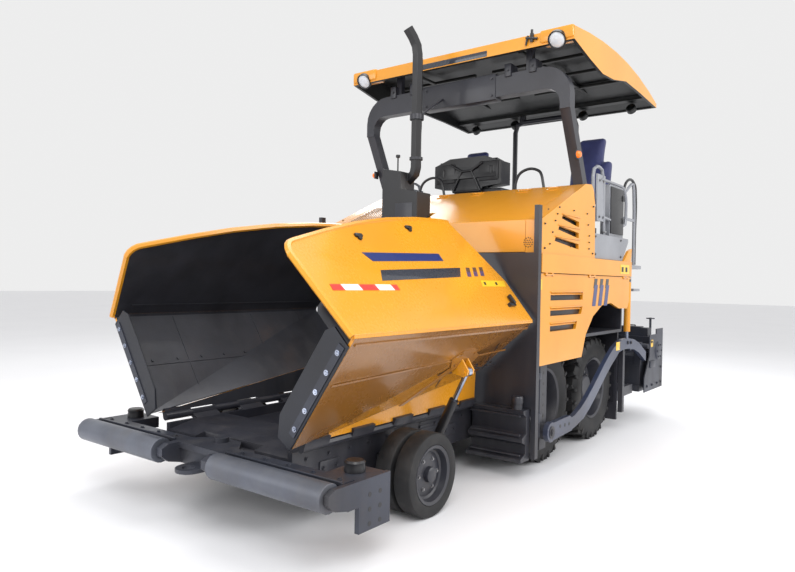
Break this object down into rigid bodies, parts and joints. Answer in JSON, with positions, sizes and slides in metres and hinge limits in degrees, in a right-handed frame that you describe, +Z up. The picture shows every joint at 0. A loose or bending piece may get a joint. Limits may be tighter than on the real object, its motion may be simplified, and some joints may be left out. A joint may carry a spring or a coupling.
{
  "type": "asphalt paver",
  "caption": "Wheeled asphalt paver with a front hopper between folding wings, an operator platform under a canopy, and a wide screed behind.",
  "frame": {"origin": "on the ground, at the bottom centre of the bounding box", "axes": "+Z up, -Y towards the hopper end in front, +X towards the machine's left side, the side with the exhaust notch seen first"},
  "size_m": [2.5, 6.194, 3.9828],
  "materials": {
    "yellow_paint": "satin paint",
    "dark_steel": "satin paint",
    "grey_steel": "worn steel",
    "silver_paint": "satin paint",
    "rubber": "matt",
    "plastic": "matt",
    "seat_cover": "matt",
    "chrome": "polished"
  },
  "bodies": {
    "chassis": {"main_frame": "dark_steel", "engine_block": "dark_steel", "front_axle": "dark_steel", "step_box_left": "dark_steel", "step_box_right": "dark_steel", "body_side_left": "yellow_paint", "body_side_right": "yellow_paint", "exhaust_stack": "dark_steel", "operator_platform": "silver_paint", "console_rail": "grey_steel", "front_arch": "dark_steel", "rear_arch": "dark_steel", "canopy": "yellow_paint", "seat_left": "seat_cover", "seat_right": "seat_cover", "side_gate_left": "silver_paint", "side_gate_right": "silver_paint", "auger_frame": "dark_steel"},
    "push_bar_unit": {"push_bar": "grey_steel"},
    "hood": {"engine_hood": "yellow_paint"},
    "console": {"control_console": "plastic"},
    "screed_unit": {"tow_arm_left": "grey_steel", "tow_arm_right": "grey_steel", "screed": "grey_steel"},
    "roller_left": {"push_roller_left": "grey_steel"},
    "wing_left": {"hopper_wing_left": "yellow_paint", "hopper_flap_left": "rubber"},
    "wing_ram_left": {"wing_cylinder_left": "dark_steel"},
    "wing_ram_rod_left": {"wing_cylinder_rod_left": "chrome"},
    "knuckle_left": {"steering_knuckle_left": "grey_steel"},
    "steered_wheels_left": {"front_wheels_left": "rubber"},
    "drive_front_left": {"drive_wheel_front_left": "rubber"},
    "drive_rear_left": {"drive_wheel_rear_left": "rubber"},
    "door_left": {"side_door_left": "yellow_paint"},
    "extension_left": {"screed_extension_left": "grey_steel"},
    "lift_ram_left": {"lift_cylinder_left": "dark_steel"},
    "lift_ram_rod_left": {"lift_cylinder_rod_left": "chrome"},
    "auger_screw_left": {"auger_left": "grey_steel"},
    "roller_right": {"push_roller_right": "grey_steel"},
    "wing_right": {"hopper_wing_right": "yellow_paint", "hopper_flap_right": "rubber"},
    "wing_ram_right": {"wing_cylinder_right": "dark_steel"},
    "wing_ram_rod_right": {"wing_cylinder_rod_right": "chrome"},
    "knuckle_right": {"steering_knuckle_right": "grey_steel"},
    "steered_wheels_right": {"front_wheels_right": "rubber"},
    "drive_front_right": {"drive_wheel_front_right": "rubber"},
    "drive_rear_right": {"drive_wheel_rear_right": "rubber"},
    "door_right": {"side_door_right": "yellow_paint"},
    "extension_right": {"screed_extension_right": "grey_steel"},
    "lift_ram_right": {"lift_cylinder_right": "dark_steel"},
    "lift_ram_rod_right": {"lift_cylinder_rod_right": "chrome"},
    "auger_screw_right": {"auger_right": "grey_steel"}
  },
  "joints": [
    {"name": "push_bar_pivot", "type": "hinge", "parent": "chassis", "child": "push_bar_unit", "pos_m": [0, -2.76, 0.45], "axis": [0, 0, 1], "range_deg": [-3, 3]},
    {"name": "hood_lift", "type": "hinge", "parent": "chassis", "child": "hood", "pos_m": [0, 0.356, 2.49], "axis": [-1, 0, 0], "range_deg": [0, 45]},
    {"name": "console_slide", "type": "slide", "parent": "chassis", "child": "console", "axis": [1, 0, 0], "range_m": [-0.08, 0.64]},
    {"name": "screed_lift", "type": "hinge", "parent": "chassis", "child": "screed_unit", "pos_m": [0, -0.33, 0.33], "axis": [1, 0, 0], "range_deg": [-7, 1.5]},
    {"name": "roller_spin_left", "type": "hinge", "parent": "push_bar_unit", "child": "roller_left", "pos_m": [0.741, -3.017, 0.445], "axis": [1, 0, 0], "continuous": true},
    {"name": "wing_fold_left", "type": "hinge", "parent": "chassis", "child": "wing_left", "pos_m": [0.69, 0, 0.56], "axis": [0, -1, 0], "range_deg": [-33, 6]},
    {"name": "wing_ram_swing_left", "type": "hinge", "parent": "chassis", "child": "wing_ram_left", "pos_m": [0.77, -1.44, 0.34], "axis": [0, -1, 0], "range_deg": [-26.41, 4.81]},
    {"name": "wing_ram_stroke_left", "type": "slide", "parent": "wing_ram_left", "child": "wing_ram_rod_left", "axis": [0.4411, 0, 0.8975], "range_m": [-0.1124, 0.0205]},
    {"name": "steering_left", "type": "hinge", "parent": "chassis", "child": "knuckle_left", "pos_m": [0.7, -1.85, 0.28], "axis": [0, 0, 1], "range_deg": [-20, 20]},
    {"name": "steered_wheel_spin_left", "type": "hinge", "parent": "knuckle_left", "child": "steered_wheels_left", "pos_m": [0.92, -1.85, 0.28], "axis": [1, 0, 0], "continuous": true},
    {"name": "drive_front_spin_left", "type": "hinge", "parent": "chassis", "child": "drive_front_left", "pos_m": [0.88, -0.08, 0.52], "axis": [1, 0, 0], "continuous": true},
    {"name": "drive_rear_spin_left", "type": "hinge", "parent": "chassis", "child": "drive_rear_left", "pos_m": [0.88, 1.07, 0.52], "axis": [1, 0, 0], "continuous": true},
    {"name": "door_lift_left", "type": "hinge", "parent": "chassis", "child": "door_left", "pos_m": [1.203, 0.5, 1.646], "axis": [0, -1, 0], "range_deg": [0, 80]},
    {"name": "extension_slide_left", "type": "slide", "parent": "screed_unit", "child": "extension_left", "axis": [1, 0, 0], "range_m": [0, 0.8]},
    {"name": "lift_ram_swing_left", "type": "hinge", "parent": "chassis", "child": "lift_ram_left", "pos_m": [1.13, 1.8, 1.62], "axis": [1, 0, 0], "range_deg": [-0.76, 3.51]},
    {"name": "lift_ram_stroke_left", "type": "slide", "parent": "lift_ram_left", "child": "lift_ram_rod_left", "axis": [0, 0, -1], "range_m": [-0.0564, 0.2628]},
    {"name": "auger_spin_left", "type": "hinge", "parent": "chassis", "child": "auger_screw_left", "pos_m": [0.11, 1.9, 0.42], "axis": [1, 0, 0], "continuous": true},
    {"name": "roller_spin_right", "type": "hinge", "parent": "push_bar_unit", "child": "roller_right", "pos_m": [-0.741, -3.017, 0.445], "axis": [1, 0, 0], "continuous": true},
    {"name": "wing_fold_right", "type": "hinge", "parent": "chassis", "child": "wing_right", "pos_m": [-0.69, 0, 0.56], "axis": [0, 1, 0], "range_deg": [-33, 6]},
    {"name": "wing_ram_swing_right", "type": "hinge", "parent": "chassis", "child": "wing_ram_right", "pos_m": [-0.77, -1.44, 0.34], "axis": [0, 1, 0], "range_deg": [-26.41, 4.81]},
    {"name": "wing_ram_stroke_right", "type": "slide", "parent": "wing_ram_right", "child": "wing_ram_rod_right", "axis": [-0.4411, 0, 0.8975], "range_m": [-0.1124, 0.0205]},
    {"name": "steering_right", "type": "hinge", "parent": "chassis", "child": "knuckle_right", "pos_m": [-0.7, -1.85, 0.28], "axis": [0, 0, 1], "range_deg": [-20, 20]},
    {"name": "steered_wheel_spin_right", "type": "hinge", "parent": "knuckle_right", "child": "steered_wheels_right", "pos_m": [-0.92, -1.85, 0.28], "axis": [1, 0, 0], "continuous": true},
    {"name": "drive_front_spin_right", "type": "hinge", "parent": "chassis", "child": "drive_front_right", "pos_m": [-0.88, -0.08, 0.52], "axis": [1, 0, 0], "continuous": true},
    {"name": "drive_rear_spin_right", "type": "hinge", "parent": "chassis", "child": "drive_rear_right", "pos_m": [-0.88, 1.07, 0.52], "axis": [1, 0, 0], "continuous": true},
    {"name": "door_lift_right", "type": "hinge", "parent": "chassis", "child": "door_right", "pos_m": [-1.203, 0.5, 1.646], "axis": [0, 1, 0], "range_deg": [0, 80]},
    {"name": "extension_slide_right", "type": "slide", "parent": "screed_unit", "child": "extension_right", "axis": [-1, 0, 0], "range_m": [0, 0.8]},
    {"name": "lift_ram_swing_right", "type": "hinge", "parent": "chassis", "child": "lift_ram_right", "pos_m": [-1.13, 1.8, 1.62], "axis": [1, 0, 0], "range_deg": [-0.76, 3.51]},
    {"name": "lift_ram_stroke_right", "type": "slide", "parent": "lift_ram_right", "child": "lift_ram_rod_right", "axis": [0, 0, -1], "range_m": [-0.0564, 0.2628]},
    {"name": "auger_spin_right", "type": "hinge", "parent": "chassis", "child": "auger_screw_right", "pos_m": [-0.11, 1.9, 0.42], "axis": [1, 0, 0], "continuous": true}
  ],
  "couplings": [
    {"joint": "wing_ram_swing_left", "follows": "wing_fold_left", "ratio": 0.8},
    {"joint": "wing_ram_stroke_left", "follows": "wing_fold_left", "m_per_rad": 0.195},
    {"joint": "lift_ram_swing_left", "follows": "screed_lift", "ratio": -0.5},
    {"joint": "lift_ram_stroke_left", "follows": "screed_lift", "m_per_rad": -2.15},
    {"joint": "wing_ram_swing_right", "follows": "wing_fold_right", "ratio": 0.8},
    {"joint": "wing_ram_stroke_right", "follows": "wing_fold_right", "m_per_rad": 0.195},
    {"joint": "lift_ram_swing_right", "follows": "screed_lift", "ratio": -0.5},
    {"joint": "lift_ram_stroke_right", "follows": "screed_lift", "m_per_rad": -2.15},
    {"joint": "steering_right", "follows": "steering_left", "ratio": 1}
  ]
}
